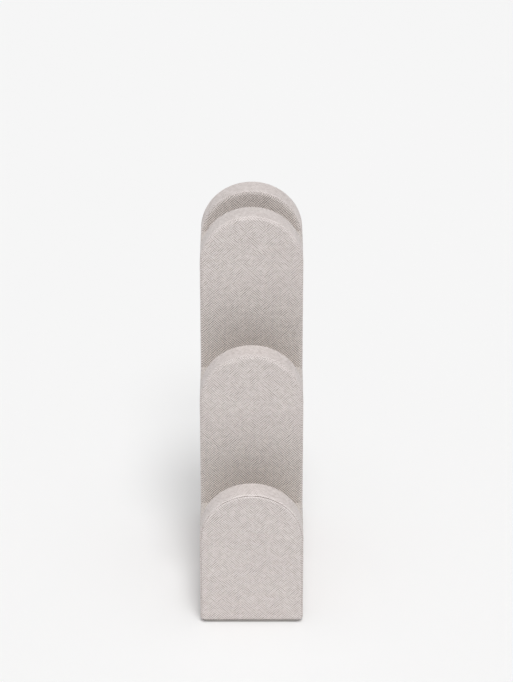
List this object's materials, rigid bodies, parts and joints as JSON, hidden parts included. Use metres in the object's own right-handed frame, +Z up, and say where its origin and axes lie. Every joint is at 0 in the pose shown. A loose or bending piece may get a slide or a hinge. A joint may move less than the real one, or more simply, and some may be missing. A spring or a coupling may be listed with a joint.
{
  "type": "eyeglasses display stand",
  "caption": "Stepped table stand of arch-topped, leatherette-covered boards with a slot behind each arch for the folded temples of a pair of glasses.",
  "frame": {"origin": "on the table under the middle of the stand's bounding box", "axes": "+X to the right, +Y to the back, away from the faces the glasses hang on, +Z up"},
  "size_m": [0.05, 0.1068, 0.1894],
  "materials": {
    "leatherette": "taupe cross-hatch embossed leatherette, low sheen",
    "fibreboard": "bare medium-density fibreboard",
    "beech_dowel": "bare beech",
    "felt": "pressed felt"
  },
  "bodies": {
    "root": {"felt_base_pad": "felt", "front_board_core": "fibreboard", "front_board_face_cover": "leatherette", "front_board_rear_cover": "leatherette", "front_board_edge_band": "leatherette", "middle_board_core": "fibreboard", "middle_board_face_cover": "leatherette", "middle_board_rear_cover": "leatherette", "middle_board_edge_band": "leatherette", "upper_board_core": "fibreboard", "upper_board_face_cover": "leatherette", "upper_board_rear_cover": "leatherette", "upper_board_edge_band": "leatherette", "back_board_core": "fibreboard", "back_board_face_cover": "leatherette", "back_board_rear_cover": "leatherette", "back_board_edge_band": "leatherette", "front_spacer_core": "fibreboard", "front_spacer_wrap": "leatherette", "front_spacer_dowels": "beech_dowel", "middle_spacer_core": "fibreboard", "middle_spacer_wrap": "leatherette", "middle_spacer_dowels": "beech_dowel", "rear_spacer_core": "fibreboard", "rear_spacer_wrap": "leatherette", "rear_spacer_dowels": "beech_dowel"}
  },
  "joints": []
}
